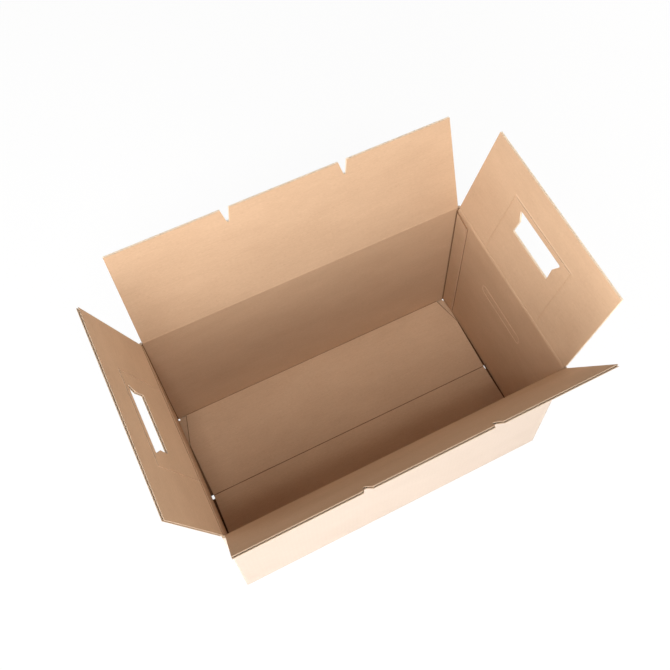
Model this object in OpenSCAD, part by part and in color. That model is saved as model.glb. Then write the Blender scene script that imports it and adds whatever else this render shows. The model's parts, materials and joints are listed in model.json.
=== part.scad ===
// Open storage carton of single-wall corrugated board.
// One blank makes the four walls, the glued corner and the folded bottom.
// Four top flaps turn on crushed creases along the rim.
// X runs along the long side, Y from front to back, Z up. Origin: centre of the base.

/* [Carton] */
// Inside length, between the two end walls
inside_length = 600; // [460:5:800]
// Inside width, between the two long walls
inside_width = 350; // [300:5:380]
// Height of the long flaps' creases above the ground
rim_height = 355; // [280:5:500]
// Thickness of the corrugated board
board = 4; // [3:0.25:5]
// Outer radius of the folds between the walls and along the base
fold_radius = 3; // [1:0.25:3]

/* [Top flaps] */
// Depth of the two long flaps, from crease to free edge
long_flap_depth = 194; // [170:1:230]
// Depth of the two end flaps, from crease to free edge
end_flap_depth = 199; // [165:1:225]
// Outward lean of the back flap from upright, in degrees
back_lean = 18.8; // [5:0.1:60]
// Outward lean of the front flap from upright, in degrees
front_lean = 24; // [5:0.1:60]
// Outward lean of the left flap from upright, in degrees
left_lean = 16.8; // [5:0.1:60]
// Outward lean of the right flap from upright, in degrees
right_lean = 16.8; // [5:0.1:60]
// Gap between a flap's side edge and the inside of the next wall
side_gap = 1.2; // [0.8:0.1:2.5]
// Clear height between an end flap and a long flap that closes over it
layer_gap = 0.5; // [0.3:0.1:1.5]

/* [Creases] */
// Furthest turn of a flap from upright, either way, in degrees
furthest_turn = 140; // [120:1:148]
// Angle left between flap and wall at that turn, in degrees
turn_room = 6; // [2:0.5:8]
// Diameter of the round bead of paper that a flap turns on
crease_bead = 1; // [0.6:0.1:1.4]
// Running gap between a flap's bead and the wall below it
crease_gap = 0.2; // [0.1:0.05:0.4]

/* [Interlocking notches] */
// Distance between the two notches of a long flap
notch_spacing = 204; // [120:2:300]
// Width of a notch at the free edge
notch_mouth = 15; // [12:0.5:24]
// Depth of a notch from the free edge
notch_depth = 26; // [20:1:40]
// Width of a notch at its round end
notch_end = 5; // [4:0.5:8]

/* [Hand holes] */
// Distance from the crease to the grip edge of the hole
hole_start = 87; // [60:1:95]
// Depth of the hole, away from the crease
hole_depth = 45; // [38:1:52]
// Width of the hole along its grip edge
hole_grip_width = 104; // [102:1:130]
// Width of the hole at its waist
hole_waist_width = 100; // [85:1:102]
// Width of the hole along its far edge
hole_far_width = 120; // [106:1:145]
// Distance from the grip edge to the waist
hole_waist = 25; // [15:1:32]
// Corner radius of the hole
hole_radius = 2.5; // [1:0.5:4]

/* [Pressed lines] */
// Width of a pressed line
line_width = 2.6; // [1:0.1:3]
// Depth of a pressed line
line_depth = 0.8; // [0.2:0.1:1]
// Margin of the pressed panel beside a hand hole
panel_side = 24; // [15:1:40]
// Margin of the pressed panel past a hand hole's far edge
panel_end = 12; // [8:1:20]
// Length of the punch-out outline on an end wall
punch_length = 128; // [90:1:160]
// Height of the punch-out outline
punch_height = 24; // [18:1:36]

/* [Bottom] */
// Gap of the seam where the two long bottom flaps meet
seam_gap = 0.6; // [0.3:0.1:2]
// Rise of the two long bottom flaps towards the seam
seam_rise = 3; // [0.5:0.25:8]
// Gap between a long bottom flap and the end wall
bottom_gap = 2; // [1:0.25:4]
// Further gap there at the seam, because the flap's ends taper
bottom_taper = 3; // [0.5:0.25:5]
// Reach of an end bottom flap under the foot of each long wall
foot_reach = 1.5; // [0.5:0.25:2]
// Length along the wall of the slant at a long bottom flap's corner
slant_along = 18; // [8:1:30]
// Length across the flap of the same slant
slant_across = 62; // [30:1:90]
// Length of the opening at each end of the seam, along the end wall
seam_hole_length = 9; // [6:0.5:16]
// Width of that opening, across the end wall's foot
seam_hole_width = 6; // [4:0.5:10]
// Side of the square relief at each corner of an end bottom flap
corner_relief = 3.5; // [2:0.5:8]

/* [Glue tab] */
// Width of the tab inside the back right corner
tab_width = 36; // [20:1:45]
// Thickness of the crushed tab
tab_board = 2.5; // [1.5:0.25:3]
// Clearance between the tab and the right flap at its furthest turn
tab_clearance = 0.6; // [0.3:0.1:2]
// Drop of the tab's slanted ends towards its free edge
tab_slant = 6; // [2:0.5:15]
// Width of the score that the tab is folded on, along the back wall
tab_score_width = 2; // [0.8:0.1:3]
// Depth of that score
tab_score_depth = 2; // [0.5:0.1:2.2]

/* [Hidden] */

wall_colour = [0.78, 0.60, 0.43];
flap_colour = [0.86, 0.69, 0.52];

// Room past a face, so that a cut goes right through
over = 1;
// Straight steps in a rounded corner of a cut-out
corner_steps = 6;
$fn = 48;

outside_length = inside_length + 2 * board;
outside_width = inside_width + 2 * board;

// The creases lie in the middle of the board, those of the end flaps one board lower
long_crease_at = inside_width / 2 + board / 2;
end_crease_at = inside_length / 2 + board / 2;
end_crease_height = rim_height - board - layer_gap;

long_flap_width = inside_length - 2 * side_gap;
end_flap_width = inside_width - 2 * side_gap;

// Both sheets are crushed to a wedge towards a crease, slim enough for the flap's furthest turn
fold_angle = 180 - furthest_turn;
wedge = (fold_angle - turn_room) / 2;
crease_run = board / 2 / tan(wedge);
wall_crease_top = crease_bead / 2 + crease_gap;
// A wall's crease opens half the side gap wider than its flap at each end
crease_margin = side_gap / 2;

panel_width = hole_far_width + 2 * panel_side;
panel_depth = hole_start + hole_depth + panel_end;
// The punch-out of the wall lines up with the hole of the flap that folds in over it
punch_drop = hole_start + hole_depth / 2;

// The long bottom flaps lie over the end ones, clear of them, and rise from their creases to the seam
bottom_flap_depth = inside_width / 2;
floor_foot = board + layer_gap;
floor_top = floor_foot + board;

// The tab starts low enough for the right flap to swing in over it
tab_face = board / 2 + tab_board;
tab_drop = (board / 2 + tab_clearance + tab_face * cos(fold_angle)) / sin(fold_angle);
tab_top = end_crease_height - tab_drop;

// Points of the arc that rounds the corner b between a and c
function unit(v) = v / norm(v);
function turn_between(from, to) = (to - from + 540) % 360 - 180;
function corner_arc(a, b, c, r) =
    let (
        u = unit(a - b),
        w = unit(c - b),
        half = acos(u * w) / 2,
        centre = b + unit(u + w) * r / sin(half),
        first = b + u * r / tan(half) - centre,
        last = b + w * r / tan(half) - centre,
        start = atan2(first.y, first.x),
        sweep = turn_between(start, atan2(last.y, last.x))
    )
    [for (i = [0 : corner_steps])
        let (angle = start + sweep * i / corner_steps)
        centre + r * [cos(angle), sin(angle)]];

// A closed outline with every corner rounded by r
function rounded(points, r) =
    let (n = len(points))
    [for (i = [0 : n - 1])
        each corner_arc(points[(i + n - 1) % n], points[i], points[(i + 1) % n], r)];

// Rectangle with round corners
module rounded_plan(length, width, r) {
    square([length - 2 * r, width], center = true);
    square([length, width - 2 * r], center = true);
    for (x = [-1, 1], y = [-1, 1])
        translate([x * (length / 2 - r), y * (width / 2 - r)])
            circle(r);
}

// Turns what is drawn for the back side, with its crease along X and its outside towards +Y, to a side
module on_side(turn, distance, height) {
    rotate([0, 0, turn])
        translate([0, distance, height])
            children();
}

// Extrudes a section along a crease: its first axis runs outwards across the board, its second up
module along_crease(length) {
    rotate([90, 0, 90])
        linear_extrude(length, center = true)
            children();
}

// Extrudes an outline that lies in a sheet's own plane across the board
module across_board(depth) {
    rotate([90, 0, 0])
        linear_extrude(depth, center = true)
            children();
}

// Section of a flap: a round bead on the crease, the crushed wedge and the full board
module flap_section(depth) {
    circle(d = crease_bead);
    polygon([
        [0, 0], [board / 2, crease_run], [board / 2, depth],
        [-board / 2, depth], [-board / 2, crease_run]
    ]);
}

// What a crease takes away from the top of a wall, up to a height above the crease
module crease_section(height) {
    land = wall_crease_top * tan(wedge);
    polygon([
        [-board / 2 - over, -crease_run], [-board / 2, -crease_run], [-land, -wall_crease_top],
        [land, -wall_crease_top], [board / 2, -crease_run], [board / 2 + over, -crease_run],
        [board / 2 + over, height], [-board / 2 - over, height]
    ]);
}

// What rounds the outer edge of a fold along the base, at a height above the ground
module base_fold_section(height) {
    difference() {
        translate([board / 2 - fold_radius, height - over])
            square(fold_radius + over);
        translate([board / 2 - fold_radius, height + fold_radius])
            circle(fold_radius);
    }
}

// Outline of an interlocking notch at the free edge of a long flap
module notch_outline() {
    round_at = long_flap_depth - notch_depth + notch_end / 2;
    translate([0, round_at])
        circle(d = notch_end);
    polygon([
        [-notch_end / 2, round_at], [notch_end / 2, round_at],
        [notch_mouth / 2, long_flap_depth], [notch_mouth / 2, long_flap_depth + over],
        [-notch_mouth / 2, long_flap_depth + over], [-notch_mouth / 2, long_flap_depth]
    ]);
}

// Outline of a hand hole, with a waist between its grip edge and its wider far edge
module hand_hole_outline() {
    right = [
        [hole_grip_width / 2, hole_start],
        [hole_waist_width / 2, hole_start + hole_waist],
        [hole_far_width / 2, hole_start + hole_depth]
    ];
    left = [for (i = [2 : -1 : 0]) [-right[i].x, right[i].y]];
    polygon(rounded(concat(right, left), hole_radius));
}

// Pressed line on three sides of the panel round a hand hole, open towards the crease
module panel_line() {
    translate([-panel_width / 2, crease_run])
        difference() {
            square([panel_width, panel_depth - crease_run]);
            translate([line_width, -over])
                square([panel_width - 2 * line_width, panel_depth - crease_run - line_width + over]);
        }
}

// Pressed outline of a punch-out handle
module punch_line() {
    difference() {
        rounded_plan(punch_length, punch_height, punch_height / 2 - line_width);
        rounded_plan(punch_length - 2 * line_width, punch_height - 2 * line_width,
                     punch_height / 2 - 2 * line_width);
    }
}

// Plan of one long bottom flap, from its wall past the seam
module long_bottom_plan() {
    widest = inside_length / 2 - bottom_gap;
    seam_end = widest - bottom_taper;
    hinge = inside_length / 2 - slant_along;
    right = [
        [seam_end, 0], [widest, inside_width / 2 - slant_across], [hinge, inside_width / 2],
        [hinge, long_crease_at]
    ];
    left = [for (i = [3 : -1 : 0]) [-right[i].x, right[i].y]];
    polygon(concat(right, left));
}

// Section of one long bottom flap, from the middle of its wall to the seam
module long_bottom_section() {
    polygon([
        [long_crease_at, floor_foot], [long_crease_at, floor_top], [inside_width / 2, floor_top],
        [seam_gap / 2, floor_top + seam_rise], [seam_gap / 2, floor_foot + seam_rise],
        [inside_width / 2, floor_foot]
    ]);
}

// Four walls, whose long sides stand clear of the ground on the end bottom flaps
module walls() {
    difference() {
        linear_extrude(rim_height)
            difference() {
                rounded_plan(outside_length, outside_width, fold_radius);
                square([inside_length, inside_width], center = true);
            }
        for (side = [0, 180])
            rotate([0, 0, side])
                translate([-outside_length / 2 - over, inside_width / 2, -over])
                    cube([outside_length + 2 * over, board + over, floor_foot + over]);
        for (side = [0, 180]) {
            on_side(side, long_crease_at, 0)
                along_crease(outside_length + 2 * over)
                    base_fold_section(floor_foot);
            on_side(side, long_crease_at, rim_height)
                along_crease(long_flap_width + 2 * crease_margin)
                    crease_section(over);
        }
        for (side = [-90, 90]) {
            on_side(side, end_crease_at, 0)
                along_crease(outside_width + 2 * over)
                    base_fold_section(0);
            on_side(side, end_crease_at, end_crease_height)
                along_crease(end_flap_width + 2 * crease_margin)
                    crease_section(rim_height - end_crease_height + over);
            for (face = [-1, 1])
                on_side(side, end_crease_at + face * board / 2, end_crease_height - punch_drop)
                    across_board(2 * line_depth)
                        punch_line();
        }
    }
}

// Plan of one end bottom flap, on the right, from the middle of its wall
module end_bottom_plan() {
    width = inside_width + 2 * foot_reach;
    relief_from = inside_width / 2 - corner_relief;
    difference() {
        translate([end_crease_at - bottom_flap_depth, -width / 2])
            square([bottom_flap_depth, width]);
        translate([inside_length / 2 - seam_hole_width, -seam_hole_length / 2])
            square([seam_hole_width, seam_hole_length]);
        for (side = [0, 1])
            mirror([0, side])
                translate([inside_length / 2 - corner_relief, relief_from])
                    square([board / 2 + corner_relief + over, corner_relief + foot_reach + over]);
    }
}

// End bottom flaps below, long bottom flaps over them
module bottom_flaps() {
    for (side = [0, 180])
        rotate([0, 0, side]) {
            linear_extrude(board)
                end_bottom_plan();
            intersection() {
                along_crease(inside_length)
                    long_bottom_section();
                linear_extrude(floor_top + seam_rise + over)
                    long_bottom_plan();
            }
        }
}

// Glued tab of the back wall, inside the right end wall
module glue_tab() {
    free_edge = inside_width / 2 - tab_width;
    difference() {
        translate([inside_length / 2 - tab_board, 0, 0])
            rotate([90, 0, 90])
                linear_extrude(tab_board + board / 2)
                    polygon([
                        [long_crease_at, floor_top], [long_crease_at, tab_top],
                        [inside_width / 2, tab_top], [free_edge, tab_top - tab_slant],
                        [free_edge, floor_top + tab_slant], [inside_width / 2, floor_top]
                    ]);
        translate([inside_length / 2 - tab_board - over, inside_width / 2 - tab_score_width, 0])
            cube([tab_score_depth + over, tab_score_width, rim_height]);
    }
}

// A long flap, upright on its crease at the origin
module long_flap() {
    color(flap_colour)
        difference() {
            along_crease(long_flap_width)
                flap_section(long_flap_depth);
            for (x = [-1, 1])
                translate([x * notch_spacing / 2, 0, 0])
                    across_board(board + 2 * over)
                        notch_outline();
        }
}

// An end flap with its hand hole, upright on its crease at the origin
module end_flap() {
    color(flap_colour)
        difference() {
            along_crease(end_flap_width)
                flap_section(end_flap_depth);
            across_board(board + 2 * over)
                hand_hole_outline();
            translate([0, -board / 2, 0])
                across_board(2 * line_depth)
                    panel_line();
        }
}

module carton() {
    color(wall_colour) {
        walls();
        bottom_flaps();
        glue_tab();
    }
}

module back_flap() {
    on_side(0, long_crease_at, rim_height)
        rotate([-back_lean, 0, 0])
            long_flap();
}

module front_flap() {
    on_side(180, long_crease_at, rim_height)
        rotate([-front_lean, 0, 0])
            long_flap();
}

module left_flap() {
    on_side(90, end_crease_at, end_crease_height)
        rotate([-left_lean, 0, 0])
            end_flap();
}

module right_flap() {
    on_side(-90, end_crease_at, end_crease_height)
        rotate([-right_lean, 0, 0])
            end_flap();
}

carton();
back_flap();
front_flap();
left_flap();
right_flap();
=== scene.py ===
import json
import math

import bmesh
import bpy
import numpy as np
from mathutils import Matrix, Vector

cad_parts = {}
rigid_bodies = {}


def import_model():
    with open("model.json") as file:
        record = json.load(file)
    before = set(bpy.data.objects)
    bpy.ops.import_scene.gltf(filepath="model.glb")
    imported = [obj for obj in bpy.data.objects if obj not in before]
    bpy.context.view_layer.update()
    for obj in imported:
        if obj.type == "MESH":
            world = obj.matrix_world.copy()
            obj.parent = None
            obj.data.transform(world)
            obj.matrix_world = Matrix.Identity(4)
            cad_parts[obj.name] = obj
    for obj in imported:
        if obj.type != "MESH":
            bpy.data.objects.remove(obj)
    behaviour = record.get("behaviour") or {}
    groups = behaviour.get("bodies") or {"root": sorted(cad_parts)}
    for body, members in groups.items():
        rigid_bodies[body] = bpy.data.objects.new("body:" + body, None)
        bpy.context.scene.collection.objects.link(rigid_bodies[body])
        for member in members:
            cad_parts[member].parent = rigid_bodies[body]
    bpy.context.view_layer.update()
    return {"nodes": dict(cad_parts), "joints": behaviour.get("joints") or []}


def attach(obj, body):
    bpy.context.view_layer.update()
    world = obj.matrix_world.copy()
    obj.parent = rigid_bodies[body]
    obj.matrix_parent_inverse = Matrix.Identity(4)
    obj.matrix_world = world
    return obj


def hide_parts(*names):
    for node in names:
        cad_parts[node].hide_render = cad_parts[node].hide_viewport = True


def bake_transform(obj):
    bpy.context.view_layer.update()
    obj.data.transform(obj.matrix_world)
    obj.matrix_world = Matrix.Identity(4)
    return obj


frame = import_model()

# Closeness at which places count as one, in metres, and faces as one, in degrees
SAME_PLACE = 0.00001
SAME_LEVEL = 0.0001
MERGE_DISTANCE = 0.000001
SAME_FACE = 0.2

# Share of a face's normal that points a way when the face counts as facing that way
FACING = 0.7

# Most of a face's normal that points along the flutes when the face is the side of a flute
ALONG_FLUTES = 0.5

# Corrugated board, in metres, and the points on one arch of its wave
LINER = 0.00095
FLUTE_PITCH = 0.0078
FLUTE_PAPER = 0.00035
GLUE_WIDTH = 0.001
FLUTE_START = 0.0085
FLUTE_PAST_EDGE = 0.005
CRUSHED_REACH = 0.0068
ARCH_POINTS = 11

# Paper that runs on across a crease, in metres
STRIP_REACH = 0.0076
STRIP_PAPER = 0.0003
STRIP_PROUD = 0.00005
STRIP_TUCK = 0.00015
STRIP_SIDE_GAP = 0.0006
BEND_HALF = 0.0014

# Depth of the score at heights above and below a crease, in metres, and its share inside a long crease
INNER_SCORE = {0.0076: 0.0, 0.0066: 0.0, 0.0046: 0.0, 0.0030: 0.0007, 0.0014: 0.0001, 0.0006: 0.0}
OUTER_SCORE = {0.0076: 0.0, 0.0066: 0.0, 0.0036: 0.0, 0.0022: 0.0002, 0.0012: 0.0006, 0.0004: 0.0008}
SCORE_FROM, SCORE_TO = 0.0014, 0.0046
LONG_SCORE_SHARE = 0.25

# Widths in metres of the painted shade at folds, in gaps, beside the slanted ends of the long bottom flaps
# (wider on the right) and beside the tab's free edge, and of the painted shade and highlight at the end of
# the pressed lines
SCORE_AND_SHADE_WIDTH = 0.0014
SEAM_EDGE = 0.0003
FLAP_SHADE = 0.0016
RIGHT_FLAP_SHADE = 0.0032
LINE_WIDTH = 0.0048
LINE_LIGHT = 0.0024
LINE_LIP = 0.0018
TAB_SHADE = 0.0018

# Heights in the bottom of the carton, in thicknesses of its board
UPPER_LAYER_FROM = 1.05
LONG_FLAP_FROM, LONG_FLAP_TO = 1.2, 3.0
FLOOR_FROM, FLOOR_CREASE_TO = 2.0, 2.5
WALL_FOOT = 1.9
BOTTOM_TO = 4.0

# Reach of the ends of a long bottom flap and of its slanted corners, in thicknesses of its board
FLAP_END_REACH = 3.0
SLANT_REACH = 2.0

# Where the punch-outs and the tab lie, as shares of half the carton's width and of its height
PUNCH_OUT_WIDTH, PUNCH_OUT_BELOW = 0.5, 0.9
TAB_ABOVE = 0.3

# Colours of the paper, linear, at its darkest and lightest
INSIDE_TONES = (0.45, 0.292, 0.180), (0.66, 0.448, 0.291)
OUTSIDE_TONES = (0.485, 0.395, 0.32), (0.605, 0.505, 0.43)
# Pressed kraft, lighter than the liner, also used as a painted highlight at the far end of the pressed lines
PRESSED_AND_LIT_TONES = (0.52, 0.35, 0.225), (0.75, 0.53, 0.355)
# Scored kraft: darker crushed paper of a fold, also used as painted shade beside the folds, beside the tab's
# free edge, in the left end crease and in the slot at the back left; the tab's top takes it too
SCORE_AND_SHADE_TONES = (0.18, 0.095, 0.048), (0.32, 0.185, 0.10)
# Flutes and cut edges, darkened as painted shade; this cut board also serves the carton's other cut edges
SHADED_FLUTE_TONES = (0.34, 0.23, 0.145), (0.54, 0.385, 0.26)
SHADED_CUT_TONES = (0.33, 0.235, 0.16), (0.53, 0.395, 0.28)
# Painted lit copies of the flutes and cut edges, for the back and right flaps
LIT_FLUTE_TONES = (0.84, 0.70, 0.53), (0.96, 0.87, 0.73)
LIT_CUT_TONES = (0.72, 0.57, 0.42), (0.93, 0.79, 0.63)
# Painted shade in the gaps: the seam, the slots at the flap ends, the feet of the end walls, the cut edges
# of the upper bottom layer, the tab's corner and the painted shadow beside the flaps' slanted ends
GAP_SHADE_TONES = (0.095, 0.043, 0.019), (0.20, 0.10, 0.048)

# Kraft liner on the flat blank: noise per metre along and across it, noise detail and weight in the tone
KRAFT_NOISE = {
    "clouds": (6.0, 13.0, 3.0, 0.55),
    "streaks": (30.0, 330.0, 4.0, 0.42),
    "fibres": (190.0, 1300.0, 2.0, 0.90),
    "grain": (1500.0, 2400.0, 1.0, 0.50),
}
NOISE_ROUGHNESS = 0.6
NOISE_MEAN = 0.5
MIDDLE_TONE = 0.5
INSIDE_RIBS, OUTSIDE_RIBS = 0.005, 0.03
FLECK_FROM, FLECK_TO, FLECK_SHADE = -0.17, -0.26, 0.3
FIBRE_RELIEF, STREAK_RELIEF = 0.8, 0.25
KRAFT_BUMP, KRAFT_GLOSS, FIBRE_ROUGHNESS = 0.4, 0.2, 0.3

# Raw paper of flutes and cut edges: noise per metre, noise detail and weight in the tone
COARSE_NOISE = (900.0, 3.0, 0.5)
PATCH_NOISE = (60.0, 2.0, 0.5)
RAW_BUMP, RAW_GLOSS, COARSE_ROUGHNESS = 0.5, 0.15, 0.2

# All papers: roughness before their noise is added, and relief in metres
PAPER_ROUGHNESS = 0.8
PAPER_RELIEF = 0.0002

# Distance on the blank's map from the inner liner to the outer one
OUTER_LINER_AT = 4.0

# Plain white of the floor and the studio
WHITE = (1.0, 1.0, 1.0, 1.0)

# Floor: colour, reach in metres, and share of plain white that the camera sees
FLOOR_COLOUR = (0.88, 0.88, 0.88, 1.0)
FLOOR_REACH = 6.0
FLOOR_WHITE = 0.92

# Camera, in metres and degrees, and its image plane
CAMERA_AT = (-0.2715, -0.5684, 1.7538)
CAMERA_LOOKS_AT = (0.1188, 0.1610, 0.25)
CAMERA_ROLL = 1.28
SENSOR_WIDTH = 36.0
FOCAL_LENGTH = 50.11
VIEW_SHIFT = (-0.0546, -0.0796)

# Soft boxes round the carton: compass angle, height angle, side in metres, share of full light and colour
NEUTRAL_LIGHT = (1.0, 1.0, 1.0)
WARM_LIGHT = (1.0, 0.95, 0.90)
LIGHT_DISTANCE = 3.2
LIGHT_CENTRE = (0.0, 0.0, 0.3)
SOFT_BOXES = {
    "front_left_wall": (235, 20, 2.5, 1.20, NEUTRAL_LIGHT),
    "left_wall": (180, 20, 2.5, 0.60, NEUTRAL_LIGHT),
    "right_wall": (0, 20, 2.5, 0.68, WARM_LIGHT),
    "back_wall": (90, 20, 2.5, 0.06, WARM_LIGHT),
    "key": (260, 60, 0.8, 0.54, NEUTRAL_LIGHT),
    "high_left": (215, 56, 0.8, 0.06, NEUTRAL_LIGHT),
    "top": (262, 80, 1.6, 0.06, NEUTRAL_LIGHT),
}
DOME_STRENGTH = 0.03


# Node helpers
def new_material(name):
    material = bpy.data.materials.new(name)
    material.use_nodes = True
    material.node_tree.nodes.clear()
    return material


class Graph:
    """Adds nodes to a tree and joins them: a value given for a socket is set, a socket is linked."""

    def __init__(self, tree):
        self.tree = tree

    def add(self, kind, inputs=None, **settings):
        node = self.tree.nodes.new(kind)
        for key, value in settings.items():
            setattr(node, key, value)
        for key, value in (inputs or {}).items():
            self.put(node.inputs[key], value)
        return node

    def put(self, socket, value):
        if isinstance(value, bpy.types.NodeSocket):
            self.tree.links.new(value, socket)
        else:
            socket.default_value = value

    def math(self, operation, *values):
        node = self.add("ShaderNodeMath", operation=operation)
        for socket, value in zip(node.inputs, values):
            self.put(socket, value)
        return node.outputs[0]

    def vector(self, x=0.0, y=0.0, z=0.0):
        return self.add("ShaderNodeCombineXYZ", {"X": x, "Y": y, "Z": z}).outputs[0]

    def tone(self, dark, light, share):
        mix = self.add("ShaderNodeMix", data_type="RGBA")
        self.put(mix.inputs["Factor"], share)
        mix.inputs["A"].default_value = (*dark, 1.0)
        mix.inputs["B"].default_value = (*light, 1.0)
        return mix.outputs["Result"]

    def seen_directly(self):
        """One for rays from the camera, from a mirror or through glass, nought for those that light."""
        path = self.add("ShaderNodeLightPath").outputs
        seen = self.math("MAXIMUM", path["Is Camera Ray"], path["Is Glossy Ray"])
        return self.math("MAXIMUM", seen, path["Is Transmission Ray"])


# Materials
def sheet_noise(graph, along, across, along_scale, across_scale, detail):
    """Noise laid out on the flat blank, about nought, stretched along or across the paper."""
    place = graph.vector(
        graph.math("MULTIPLY", along, along_scale), graph.math("MULTIPLY", across, across_scale))
    noise = graph.add("ShaderNodeTexNoise", {
        "Vector": place, "Scale": 1.0, "Detail": detail, "Roughness": NOISE_ROUGHNESS,
    })
    return graph.math("SUBTRACT", noise.outputs["Fac"], NOISE_MEAN)


def kraft_paper(name, tones, ribs=0.0):
    """Kraft liner: clouds, streaks along the machine direction, fibres, flecks and the flutes behind it."""
    material = new_material(name)
    graph = Graph(material.node_tree)
    blank = graph.add("ShaderNodeUVMap", uv_map="blank")
    sheet = graph.add("ShaderNodeSeparateXYZ", {"Vector": blank.outputs["UV"]})
    along, across = sheet.outputs["X"], sheet.outputs["Y"]
    noise = {}
    share = MIDDLE_TONE
    for kind, (along_scale, across_scale, detail, weight) in KRAFT_NOISE.items():
        noise[kind] = sheet_noise(graph, along, across, along_scale, across_scale, detail)
        share = graph.math("MULTIPLY_ADD", noise[kind], weight, share)
    height = graph.math("MULTIPLY", noise["fibres"], FIBRE_RELIEF)
    height = graph.math("MULTIPLY_ADD", noise["streaks"], STREAK_RELIEF, height)
    if ribs:
        flute = graph.math("SINE", graph.math("MULTIPLY", along, 2 * math.pi / FLUTE_PITCH))
        share = graph.math("MULTIPLY_ADD", flute, ribs, share)
        height = graph.math("MULTIPLY_ADD", flute, ribs, height)
    fleck = graph.add("ShaderNodeMapRange", {
        "Value": noise["fibres"], "From Min": FLECK_FROM, "From Max": FLECK_TO, "To Max": FLECK_SHADE,
    })
    share = graph.math("SUBTRACT", share, fleck.outputs["Result"])
    bump = graph.add("ShaderNodeBump", {
        "Height": height, "Strength": KRAFT_BUMP, "Distance": PAPER_RELIEF,
    })
    shader = graph.add("ShaderNodeBsdfPrincipled", {
        "Base Color": graph.tone(*tones, share), "Normal": bump.outputs["Normal"],
        "Roughness": graph.math("MULTIPLY_ADD", noise["fibres"], FIBRE_ROUGHNESS, PAPER_ROUGHNESS),
        "Specular IOR Level": KRAFT_GLOSS,
    })
    graph.add("ShaderNodeOutputMaterial", {"Surface": shader.outputs["BSDF"]})
    return material


def raw_paper(name, tones):
    """Fluted paper and cut edges: coarse, with torn fibres."""
    material = new_material(name)
    graph = Graph(material.node_tree)
    place = graph.add("ShaderNodeTexCoord").outputs["Object"]
    share = 0.0
    noise = []
    for scale, detail, weight in (COARSE_NOISE, PATCH_NOISE):
        node = graph.add("ShaderNodeTexNoise", {"Vector": place, "Scale": scale, "Detail": detail})
        noise.append(node.outputs["Fac"])
        share = graph.math("MULTIPLY_ADD", noise[-1], weight, share)
    coarse = noise[0]
    bump = graph.add("ShaderNodeBump", {"Height": coarse, "Strength": RAW_BUMP, "Distance": PAPER_RELIEF})
    shader = graph.add("ShaderNodeBsdfPrincipled", {
        "Base Color": graph.tone(*tones, share), "Normal": bump.outputs["Normal"],
        "Roughness": graph.math("MULTIPLY_ADD", coarse, COARSE_ROUGHNESS, PAPER_ROUGHNESS),
        "Specular IOR Level": RAW_GLOSS,
    })
    graph.add("ShaderNodeOutputMaterial", {"Surface": shader.outputs["BSDF"]})
    return material


def pale_floor(name):
    """Diffuse floor that looks nearly white to the camera and keeps the carton's shadow."""
    material = new_material(name)
    graph = Graph(material.node_tree)
    diffuse = graph.add("ShaderNodeBsdfDiffuse", {"Color": FLOOR_COLOUR})
    white = graph.add("ShaderNodeEmission", {"Color": WHITE, "Strength": 1.0})
    mixed = graph.add("ShaderNodeMixShader", {0: graph.math("MULTIPLY", graph.seen_directly(), FLOOR_WHITE)})
    graph.put(mixed.inputs[1], diffuse.outputs["BSDF"])
    graph.put(mixed.inputs[2], white.outputs["Emission"])
    graph.add("ShaderNodeOutputMaterial", {"Surface": mixed.outputs["Shader"]})
    return material


PAPERS = [
    kraft_paper("kraft_inside", INSIDE_TONES, INSIDE_RIBS),
    kraft_paper("kraft_outside", OUTSIDE_TONES, OUTSIDE_RIBS),
    kraft_paper("pressed_kraft_and_painted_highlight", PRESSED_AND_LIT_TONES),
    kraft_paper("scored_kraft_and_painted_shade", SCORE_AND_SHADE_TONES),
    raw_paper("fluted_paper_in_painted_shade", SHADED_FLUTE_TONES),
    raw_paper("cut_board_in_painted_shade", SHADED_CUT_TONES),
    raw_paper("fluted_paper_in_painted_light", LIT_FLUTE_TONES),
    raw_paper("cut_board_in_painted_light", LIT_CUT_TONES),
    raw_paper("painted_shade_in_gaps", GAP_SHADE_TONES),
]
INSIDE, OUTSIDE, PRESSED_AND_LIT, SCORED_AND_SHADED, SHADED_FLUTES, SHADED_CUT, LIT_FLUTES, LIT_CUT, GAP_SHADE = range(len(PAPERS))

# Papers of the flaps: flutes and cut edges, painted lit on the back and right flaps and painted shaded on
# the front and left ones; pressed lines; and the score inside an end crease, painted shade in the left one
EDGE_PAPERS = {
    "back_flap": (LIT_FLUTES, LIT_CUT), "right_flap": (LIT_FLUTES, LIT_CUT),
    "front_flap": (SHADED_FLUTES, SHADED_CUT), "left_flap": (SHADED_FLUTES, SHADED_CUT),
}
LINE_PAPER = {"left_flap": PRESSED_AND_LIT, "right_flap": INSIDE}
SCORE_PAPER = {"left_flap": SCORED_AND_SHADED, "right_flap": INSIDE}


# Creases: the hinge of each top flap
def node_points(node):
    return np.array([corner.co for corner in frame["nodes"][node].data.vertices], float)


class Crease:
    """Frame of a crease, X along it, Y outwards and Z up, and the upright frame and sizes of its flap."""

    def __init__(self, panel, joint):
        self.panel = panel
        self.node = joint["child"]
        self.parent = joint["parent"]
        at = Vector(joint["pos_m"])
        out = Vector((at.x, at.y, 0.0)).normalized()
        up = Vector((0.0, 0.0, 1.0))
        self.place = Matrix((out.cross(up), out, up)).transposed().to_4x4()
        self.place.translation = at
        self.height = at.z
        back = np.array(self.place.inverted())
        points = node_points(self.node) @ back[:3, :3].T + back[:3, 3]
        reach = np.hypot(points[:, 1], points[:, 2])
        edge = points[reach > reach.max() - SAME_PLACE].mean(0)
        self.lean = math.atan2(edge[1], edge[2])
        self.depth = math.hypot(edge[1], edge[2])
        self.flap = self.place @ Matrix.Rotation(-self.lean, 4, "X")
        self.half_width = points[:, 0].max()
        self.board = 2 * math.sqrt(reach.max() ** 2 - self.depth ** 2)

    def on_blank(self, outside, along, up):
        """Place on the flat blank, with the panels side by side and the outer liner apart."""
        return (along + self.panel, up + (OUTER_LINER_AT if outside else 0.0))


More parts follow.
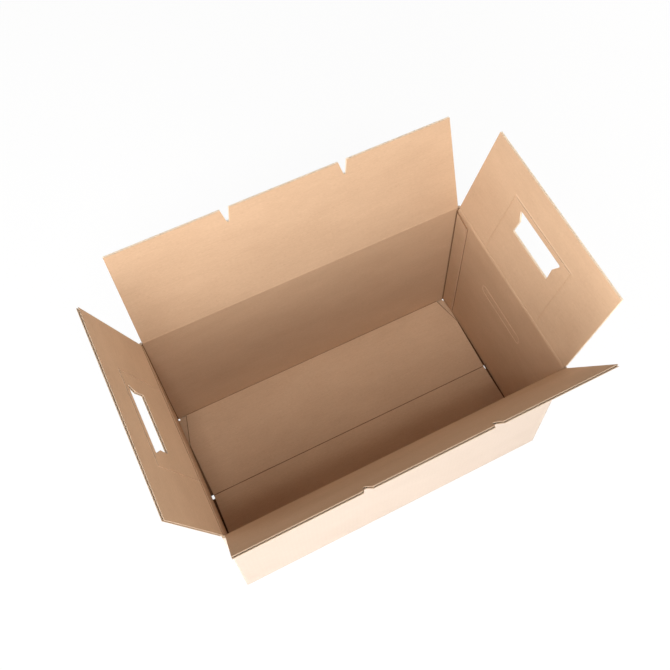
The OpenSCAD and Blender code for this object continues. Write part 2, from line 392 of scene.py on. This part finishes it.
# Meshes
def new_object(name, mesh):
    thing = bpy.data.objects.new(name, mesh)
    bpy.context.scene.collection.objects.link(thing)
    return thing


def merged_copy(node, name):
    """A plain copy of a node's mesh with its loose triangles joined."""
    mesh = frame["nodes"][node].data.copy()
    mesh.name = name
    shape = bmesh.new()
    shape.from_mesh(mesh)
    bmesh.ops.remove_doubles(shape, verts=shape.verts, dist=MERGE_DISTANCE)
    bmesh.ops.dissolve_limit(
        shape, angle_limit=math.radians(SAME_FACE), verts=shape.verts, edges=shape.edges)
    shape.to_mesh(mesh)
    shape.free()
    return new_object(name, mesh)


def paper_faces(mesh, choose):
    """Gives each face its paper and its corners their place on the flat blank."""
    mesh.materials.clear()
    for paper in PAPERS:
        mesh.materials.append(paper)
    layer = mesh.uv_layers.new(name="blank")
    for face in mesh.polygons:
        corners = [mesh.vertices[v].co for v in face.vertices]
        face.material_index, spots = choose(face, corners)
        for loop, spot in zip(face.loop_indices, spots):
            layer.data[loop].uv = spot


def cut_faces(mesh, cuts):
    """Cuts the faces of a mesh along planes, each given by a point and a normal."""
    shape = bmesh.new()
    shape.from_mesh(mesh)
    bmesh.ops.triangulate(shape, faces=shape.faces[:])
    for point, normal in cuts:
        everything = shape.verts[:] + shape.edges[:] + shape.faces[:]
        bmesh.ops.bisect_plane(shape, geom=everything, plane_co=point, plane_no=normal, dist=MERGE_DISTANCE)
    shape.to_mesh(mesh)
    shape.free()


def cut_at(axis, place):
    """Plane across an axis at a place on it, for cut_faces."""
    normal = Vector((0.0, 0.0, 0.0))
    normal["xyz".index(axis)] = 1.0
    return place * normal, normal


def plain(thing):
    """Turns an object with modifiers into a plain mesh."""
    graph = bpy.context.evaluated_depsgraph_get()
    mesh = bpy.data.meshes.new_from_object(thing.evaluated_get(graph))
    thing.modifiers.clear()
    thing.data = mesh


# Flutes: tunnels between the wavy middle paper and the two liners
def flute_tree():
    tree = bpy.data.node_groups.new("flute_tunnels", "GeometryNodeTree")
    graph = Graph(tree)
    tree.interface.new_socket("Geometry", in_out="INPUT", socket_type="NodeSocketGeometry")
    for name in ("Board", "Liner", "Pitch", "Paper", "Glue width", "First flute", "Start", "Length"):
        tree.interface.new_socket(name, in_out="INPUT", socket_type="NodeSocketFloat")
    tree.interface.new_socket("Flutes", in_out="INPUT", socket_type="NodeSocketInt")
    tree.interface.new_socket("Cut paper", in_out="INPUT", socket_type="NodeSocketMaterial")
    tree.interface.new_socket("Geometry", in_out="OUTPUT", socket_type="NodeSocketGeometry")
    given = graph.add("NodeGroupInput").outputs

    # Profile of one tunnel: an arch of the wave, closed by the liner
    half = graph.math("MULTIPLY", graph.math("SUBTRACT", given["Pitch"], given["Glue width"]), 0.5)
    line = graph.add("GeometryNodeCurvePrimitiveLine", {
        "Start": graph.vector(graph.math("MULTIPLY", half, -1.0)), "End": graph.vector(half),
    })
    fine = graph.add("GeometryNodeResampleCurve", {"Curve": line.outputs["Curve"], "Count": ARCH_POINTS})
    spot = graph.add("ShaderNodeSeparateXYZ", {"Vector": graph.add("GeometryNodeInputPosition").outputs[0]})
    turn = graph.math("MULTIPLY", graph.math("DIVIDE", spot.outputs["X"], given["Pitch"]), 2 * math.pi)
    room = graph.math("SUBTRACT", given["Board"], graph.math("MULTIPLY", given["Liner"], 2.0))
    swing = graph.math("MULTIPLY", graph.math("SUBTRACT", room, given["Paper"]), 0.5)
    wave = graph.math("MULTIPLY", graph.math("COSINE", turn), graph.math("MULTIPLY", swing, -1.0))
    wave = graph.math("ADD", wave, graph.math("MULTIPLY", given["Paper"], 0.5))
    arch = graph.add("GeometryNodeSetPosition", {
        "Geometry": fine.outputs["Curve"], "Position": graph.vector(spot.outputs["X"], wave),
    })
    loop = graph.add("GeometryNodeSetSplineCyclic", {"Geometry": arch.outputs["Geometry"], "Cyclic": True})
    face = graph.add("GeometryNodeFillCurve", {"Curve": loop.outputs["Geometry"]}, mode="NGONS")
    lifted = graph.add("GeometryNodeExtrudeMesh", {
        "Mesh": face.outputs["Mesh"], "Offset": (0.0, 0.0, 1.0), "Offset Scale": given["Length"],
        "Individual": False,
    })
    foot = graph.add("GeometryNodeFlipFaces", {"Mesh": face.outputs["Mesh"]})
    ends = graph.add("GeometryNodeJoinGeometry")
    tree.links.new(lifted.outputs["Mesh"], ends.inputs[0])
    tree.links.new(foot.outputs["Mesh"], ends.inputs[0])
    tunnel = graph.add("GeometryNodeMergeByDistance", {
        "Geometry": ends.outputs["Geometry"], "Distance": MERGE_DISTANCE,
    })

    # One row opens to the outer liner, the other, half a pitch on, to the inner one
    cut = graph.add("GeometryNodeMeshBoolean", operation="DIFFERENCE", solver="EXACT")
    tree.links.new(given["Geometry"], cut.inputs["Mesh 1"])
    for shift, turned in ((0.0, 0.0), (0.5, math.pi)):
        first = graph.math("MULTIPLY_ADD", given["Pitch"], shift, given["First flute"])
        row = graph.add("GeometryNodeMeshLine", {
            "Count": given["Flutes"], "Start Location": graph.vector(first, 0.0, given["Start"]),
            "Offset": graph.vector(given["Pitch"]),
        })
        copies = graph.add("GeometryNodeInstanceOnPoints", {
            "Points": row.outputs["Mesh"], "Instance": tunnel.outputs["Geometry"],
            "Rotation": (0.0, 0.0, turned),
        })
        tree.links.new(copies.outputs["Instances"], cut.inputs["Mesh 2"])
    solid = graph.add("GeometryNodeRealizeInstances", {"Geometry": cut.outputs["Mesh"]})
    papered = graph.add("GeometryNodeSetMaterial", {
        "Geometry": solid.outputs["Geometry"], "Material": given["Cut paper"],
    })
    graph.add("NodeGroupOutput", {"Geometry": papered.outputs["Geometry"]})
    return tree


FLUTE_TREE = flute_tree()


def open_flutes(thing, half_width, start, end, board):
    """Opens the flutes of an upright sheet, which stands along X at the origin, at its cut edges."""
    count = math.floor(2 * half_width / FLUTE_PITCH) + 1
    values = {
        "Board": board, "Liner": LINER, "Pitch": FLUTE_PITCH, "Paper": FLUTE_PAPER,
        "Glue width": GLUE_WIDTH, "First flute": -(count - 0.5) / 2 * FLUTE_PITCH, "Start": start,
        "Length": end - start, "Flutes": count, "Cut paper": PAPERS[SHADED_CUT],
    }
    modifier = thing.modifiers.new("flutes", "NODES")
    modifier.node_group = FLUTE_TREE
    for socket in FLUTE_TREE.interface.items_tree:
        if socket.in_out == "INPUT" and socket.name in values:
            modifier[socket.identifier] = values[socket.name]
    plain(thing)


# Top flaps
def flap_board(crease):
    """A top flap with its flutes open at the cut edges."""
    thing = merged_copy(crease.node, crease.node + "_board")
    thing.data.transform(crease.flap.inverted())
    open_flutes(thing, crease.half_width, FLUTE_START, crease.depth + FLUTE_PAST_EDGE, crease.board)
    liner_back = crease.board / 2 - LINER + SAME_PLACE
    surface = crease.board / 2 - SAME_PLACE
    # Painted lit flutes and cut edges on the back and right flaps, painted shaded ones on the front and left
    # flaps
    flutes, cut = EDGE_PAPERS[crease.node]

    # The end of the pressed line past the hand hole gets painted shade on its half nearer the crease and a
    # painted highlight on its far half and on the lip beyond it
    pressed = [v.co.copy() for v in thing.data.vertices if liner_back < -v.co.y < surface]
    line_end = max((p.z for p in pressed), default=0.0)
    line_side = max((p.x for p in pressed), default=0.0)
    if pressed:
        cuts = [cut_at("z", line_end + reach) for reach in (-LINE_LIGHT, 0.0, LINE_LIP)]
        cut_faces(thing.data, cuts + [cut_at("x", side * line_side) for side in (-1, 1)])

    def inner_paper(at, in_line):
        if in_line and at.z > line_end - LINE_WIDTH:
            return PRESSED_AND_LIT if at.z > line_end - LINE_LIGHT else SHADED_CUT
        if in_line:
            return LINE_PAPER[crease.node]
        on_lip = line_end < at.z < line_end + LINE_LIP and abs(at.x) < line_side
        return PRESSED_AND_LIT if on_lip else INSIDE

    def choose(face, corners):
        at = face.center
        across = [corner.y for corner in corners]
        deepest = min(abs(y) for y in across)
        at_edge = abs(at.x) > crease.half_width - SAME_PLACE or abs(at.z - crease.depth) < SAME_PLACE
        cut_through = at_edge or min(across) < 0 < max(across)
        if (deepest > liner_back and not cut_through) or at.z < CRUSHED_REACH:
            paper = OUTSIDE if at.y > 0 else inner_paper(at, liner_back < deepest < surface)
        elif abs(at.y) < liner_back and abs(face.normal.z) < ALONG_FLUTES and not cut_through:
            paper = flutes
        else:
            paper = cut
        return paper, [crease.on_blank(paper == OUTSIDE, c.x, crease.height + c.z) for c in corners]

    paper_faces(thing.data, choose)
    thing.data.transform(crease.flap)
    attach(thing, crease.node)
    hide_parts(crease.node)


# Paper across a crease
def strip_section(crease, side):
    """Section of the paper across a crease on one side of the board: (out, up, height above the crease)."""
    score = INNER_SCORE if side < 0 else OUTER_SCORE
    soft = side < 0 and crease.node not in SCORE_PAPER
    section = []
    for height in sorted([-reach for reach in score] + list(score)):
        sink = score[abs(height)] * (LONG_SCORE_SHARE if soft else 1.0)
        if abs(height) == STRIP_REACH:
            sink = STRIP_TUCK
        out = side * (crease.board / 2 + STRIP_PROUD - sink)
        bend = crease.lean * min(1.0, max(0.0, 0.5 + height / (2 * BEND_HALF)))
        section.append((out * math.cos(bend) + height * math.sin(bend),
                        height * math.cos(bend) - out * math.sin(bend), height))
    return section


def crease_paper(crease):
    """The two liners that run on across a crease, bent to the flap's lean."""
    corners, faces, heights, papers = [], [], [], []
    width = crease.half_width - STRIP_SIDE_GAP
    for side, paper in ((-1, INSIDE), (1, OUTSIDE)):
        skin = strip_section(crease, side)
        core = [(out - side * STRIP_PAPER, up, height) for out, up, height in reversed(skin)]
        rings = []
        for x in (-width, width):
            rings.append(range(len(corners), len(corners) + 2 * len(skin)))
            corners += [(x, out, up) for out, up, height in skin + core]
            heights += [height for out, up, height in skin + core]
        low, high = rings
        for i in range(len(low)):
            j = (i + 1) % len(low)
            faces.append((low[i], low[j], high[j], high[i]))
            middle = (heights[low[i]] + heights[low[j]]) / 2
            scored = side < 0 and SCORE_FROM < middle < SCORE_TO
            # The score inside the left end crease gets painted shade
            papers.append(SCORE_PAPER.get(crease.node, paper) if scored else paper)
        faces += [tuple(low), tuple(high)]
        papers += [SHADED_CUT, SHADED_CUT]
    mesh = bpy.data.meshes.new(crease.node + "_crease_paper")
    mesh.from_pydata(corners, [], faces)
    shape = bmesh.new()
    shape.from_mesh(mesh)
    bmesh.ops.recalc_face_normals(shape, faces=shape.faces)
    shape.to_mesh(mesh)
    shape.free()

    def choose(face, spots):
        paper = papers[face.index]
        return paper, [crease.on_blank(paper == OUTSIDE, spot.x, crease.height + heights[v])
                       for v, spot in zip(face.vertices, spots)]

    paper_faces(mesh, choose)
    mesh.transform(crease.place)
    thing = new_object(mesh.name, mesh)
    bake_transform(thing)


# Walls and bottom
class CartonSheet:
    """Places on the carton, read from its mesh, and the paper and the panel that each face belongs to."""

    def __init__(self, mesh, creases):
        self.creases = {crease.node: crease for crease in creases}
        self.board = creases[0].board
        self.half_length = max(abs(crease.place.translation.x) for crease in creases) - self.board / 2
        self.half_width = max(abs(crease.place.translation.y) for crease in creases) - self.board / 2
        self.end_height = self.creases["right_flap"].height
        self.foot = WALL_FOOT * self.board
        points = [vertex.co.copy() for vertex in mesh.vertices]
        self.find_bottom_flap(points)
        self.find_tab(points)

    def find_bottom_flap(self, points):
        """Corners of a long bottom flap, at the seam and where it is widest, and the way its slant faces."""
        board, length, width = self.board, self.half_length, self.half_width
        end = [p for p in points if LONG_FLAP_FROM * board < p.z < LONG_FLAP_TO * board and p.y < 0
               and length - FLAP_END_REACH * board < p.x < length - SAME_PLACE]
        seam = min(end, key=lambda p: (abs(p.y), -p.z))
        widest = max(end, key=lambda p: (p.x, p.z))
        hinge = max((p for p in points if FLOOR_FROM * board < p.z < FLOOR_CREASE_TO * board
                     and p.x < length - SLANT_REACH * board and p.y > width - SAME_PLACE), key=lambda p: p.x)
        self.seam_end = seam.x
        self.seam_edge = abs(seam.y) + SEAM_EDGE
        self.widest = Vector((widest.x, abs(widest.y)))
        self.slant = Vector((hinge.y - self.widest.y, widest.x - hinge.x)).normalized()

    def find_tab(self, points):
        """Free edge and inner face of the glued tab."""
        tab = [p for p in points if self.half_length - self.board < p.x < self.half_length - SAME_PLACE
               and 0 < p.y < self.half_width - SAME_PLACE and p.z > TAB_ABOVE * self.end_height]
        self.tab_edge = min(p.y for p in tab)
        self.tab_face = min(p.x for p in tab)

    def cuts(self):
        """Planes at which the faces change paper."""
        planes = [cut_at("z", self.foot), cut_at("y", self.tab_edge - TAB_SHADE),
                  cut_at("x", self.tab_face - SCORE_AND_SHADE_WIDTH)]
        for side in (-1, 1):
            planes += [cut_at("x", side * (x - SCORE_AND_SHADE_WIDTH)) for x in (self.half_length, self.seam_end)]
            planes += [cut_at("y", side * y)
                       for y in (self.half_width - SCORE_AND_SHADE_WIDTH, self.widest.y, self.seam_edge)]
            for end in (-1, 1):
                normal = Vector((end * self.slant.x, side * self.slant.y, 0.0))
                at = Vector((end * self.widest.x, side * self.widest.y, 0.0))
                planes += [(at + reach * normal, normal) for reach in (0.0, FLAP_SHADE, RIGHT_FLAP_SHADE)]
        return planes

    def panel(self, at, long_side):
        """Crease of the wall that a place belongs to, on a long side or at an end."""
        if long_side:
            return self.creases["back_flap" if at.y > 0 else "front_flap"]
        return self.creases["left_flap" if at.x < 0 else "right_flap"]

    def in_bottom(self, at):
        inside = self.half_length - abs(at.x) > SAME_PLACE and abs(at.y) < self.half_width - SAME_PLACE
        return inside and at.z < BOTTOM_TO * self.board

    def bottom_paper(self, face):
        """Paper of a face of the bottom, and whether it belongs to a long bottom flap; the long flaps' cut
        edges get painted gap shade and their folds at the long walls painted shade.
        """
        at, facing_up = face.center, face.normal.z
        upper = at.z > UPPER_LAYER_FROM * self.board or (facing_up < -FACING and at.z > SAME_LEVEL)
        if abs(facing_up) < FACING:
            return (GAP_SHADE if upper else SHADED_CUT), upper
        if facing_up < 0:
            return OUTSIDE, upper
        at_crease = upper and abs(at.y) > self.half_width - SCORE_AND_SHADE_WIDTH
        return (SCORED_AND_SHADED if at_crease else INSIDE), upper

    def wall_paper(self, face):
        """Paper of a face of the walls or the tab, and whether it belongs to a long wall; the tab's corner
        and the strips beside the vertical folds and the tab's free edge get painted shade.
        """
        at, normal = face.center, face.normal
        inset = self.half_length - abs(at.x)
        in_punch_out = (SAME_PLACE - self.board < inset < -SAME_PLACE
                        and abs(at.y) < PUNCH_OUT_WIDTH * self.half_width
                        and at.z < PUNCH_OUT_BELOW * self.end_height)
        in_tab = SAME_PLACE < inset < self.board and abs(at.y) < self.half_width - SAME_PLACE
        long_side = abs(normal.x) <= abs(normal.y) and not in_punch_out
        paper = INSIDE if normal.x * at.x + normal.y * at.y < 0 else OUTSIDE
        if in_punch_out:
            paper = PRESSED_AND_LIT if inset > -self.board / 2 else OUTSIDE
        elif in_tab and abs(at.y) > self.half_width - self.board:
            paper = GAP_SHADE
        elif in_tab and normal.z > FACING:
            paper = SCORED_AND_SHADED
        # The tab's free edge gets the lighter inner kraft instead of cut board, a painted highlight
        elif in_tab and long_side:
            paper = INSIDE
        elif normal.z > FACING:
            paper = SHADED_CUT
        elif paper == INSIDE and self.beside_fold(at, long_side):
            paper = SCORED_AND_SHADED
        return paper, long_side

    def beside_fold(self, at, long_side):
        """On an inner face, right beside a vertical fold or the tab's free edge, where painted shade goes.
        """
        if not long_side:
            return at.x > 0 and self.tab_edge - TAB_SHADE < at.y < self.tab_edge
        beside_tab = at.y > 0 and self.tab_face - SCORE_AND_SHADE_WIDTH < at.x < self.tab_face
        return beside_tab or abs(self.half_length - abs(at.x)) < SCORE_AND_SHADE_WIDTH

    def painted_gap_shade(self, face):
        """Painted shade in the gaps at the ends of the long bottom flaps and at the seam, and the painted
        shadow beside the flaps' slanted ends, wider on the right; None elsewhere.
        """
        at = face.center
        x, y = abs(at.x), abs(at.y)
        on_end_flap = face.normal.z > FACING and abs(at.z - self.board) < SAME_LEVEL
        if y > self.widest.y:
            beside = (Vector((x, y)) - self.widest).dot(self.slant)
            shaded = on_end_flap and 0.0 < beside < (RIGHT_FLAP_SHADE if at.x > 0 else FLAP_SHADE)
            return GAP_SHADE if shaded else None
        in_slot = on_end_flap and x > self.seam_end - SCORE_AND_SHADE_WIDTH
        on_end_wall = abs(face.normal.x) > FACING and abs(x - self.half_length) < SAME_PLACE
        if in_slot or (on_end_wall and self.board < at.z < self.foot):
            return SCORED_AND_SHADED if at.x < 0 < at.y else GAP_SHADE
        at_seam = y < self.seam_edge and FLOOR_FROM * self.board < at.z < BOTTOM_TO * self.board
        return GAP_SHADE if at_seam else None

    def choose(self, face, corners):
        """Paper of a face and the places of its corners on the flat blank."""
        in_bottom = self.in_bottom(face.center)
        paper, long_side = self.bottom_paper(face) if in_bottom else self.wall_paper(face)
        gap_shade = self.painted_gap_shade(face)
        if gap_shade is not None:
            paper = gap_shade
        crease = self.panel(face.center, long_side)
        local = [crease.place.inverted() @ corner for corner in corners]
        ups = [p.y + self.board / 2 if in_bottom else p.z + crease.height for p in local]
        return paper, [crease.on_blank(paper == OUTSIDE, p.x, up) for p, up in zip(local, ups)]


def carton_board(creases):
    """The walls, the tab and the bottom, with painted shade at folds and in gaps."""
    thing = merged_copy("carton", "carton_board")
    sheet = CartonSheet(thing.data, creases)
    cut_faces(thing.data, sheet.cuts())
    paper_faces(thing.data, sheet.choose)
    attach(thing, "carton")
    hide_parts("carton")


# Stage
def stage_floor():
    mesh = bpy.data.meshes.new("floor")
    corners = [(-1, -1), (1, -1), (1, 1), (-1, 1)]
    mesh.from_pydata([(x * FLOOR_REACH, y * FLOOR_REACH, 0.0) for x, y in corners], [], [(0, 1, 2, 3)])
    mesh.materials.append(pale_floor("pale_floor"))
    new_object("floor", mesh)


def soft_box(name, compass, height, side, share, colour):
    """A square lamp aimed at the carton; with a share of one, a white sheet facing it looks white."""
    lamp = bpy.data.lights.new(name, "AREA")
    lamp.shape = "SQUARE"
    lamp.size = side
    lamp.color = colour
    lamp.energy = share * (math.pi * LIGHT_DISTANCE) ** 2
    turn, lift = math.radians(compass), math.radians(height)
    towards = Vector((math.cos(lift) * math.cos(turn), math.cos(lift) * math.sin(turn), math.sin(lift)))
    thing = bpy.data.objects.new(name, lamp)
    thing.location = Vector(LIGHT_CENTRE) + LIGHT_DISTANCE * towards
    thing.rotation_mode = "QUATERNION"
    thing.rotation_quaternion = towards.to_track_quat("Z", "Y")
    thing.visible_camera = False
    bpy.context.scene.collection.objects.link(thing)


def studio_light():
    for name, values in SOFT_BOXES.items():
        soft_box(name, *values)
    world = bpy.data.worlds.new("studio")
    world.use_nodes = True
    world.node_tree.nodes.clear()
    graph = Graph(world.node_tree)
    dome = graph.add("ShaderNodeBackground", {"Color": WHITE, "Strength": DOME_STRENGTH})
    white = graph.add("ShaderNodeBackground", {"Color": WHITE, "Strength": 1.0})
    mixed = graph.add("ShaderNodeMixShader", {0: graph.seen_directly()})
    graph.put(mixed.inputs[1], dome.outputs["Background"])
    graph.put(mixed.inputs[2], white.outputs["Background"])
    graph.add("ShaderNodeOutputWorld", {"Surface": mixed.outputs["Shader"]})
    bpy.context.scene.world = world


def photo_camera():
    lens = bpy.data.cameras.new("camera")
    lens.sensor_width = SENSOR_WIDTH
    lens.lens = FOCAL_LENGTH
    lens.shift_x, lens.shift_y = VIEW_SHIFT
    camera = bpy.data.objects.new("camera", lens)
    camera.location = CAMERA_AT
    camera.rotation_mode = "QUATERNION"
    aim = (Vector(CAMERA_LOOKS_AT) - Vector(CAMERA_AT)).to_track_quat("-Z", "Y")
    camera.rotation_quaternion = aim @ Matrix.Rotation(math.radians(CAMERA_ROLL), 3, "Z").to_quaternion()
    bpy.context.scene.collection.objects.link(camera)
    bpy.context.scene.camera = camera


photo_camera()
creases = [Crease(panel, joint) for panel, joint in enumerate(frame["joints"])]
for crease in creases:
    flap_board(crease)
    crease_paper(crease)
carton_board(creases)
stage_floor()
studio_light()
bpy.context.scene.view_settings.view_transform = "Standard"
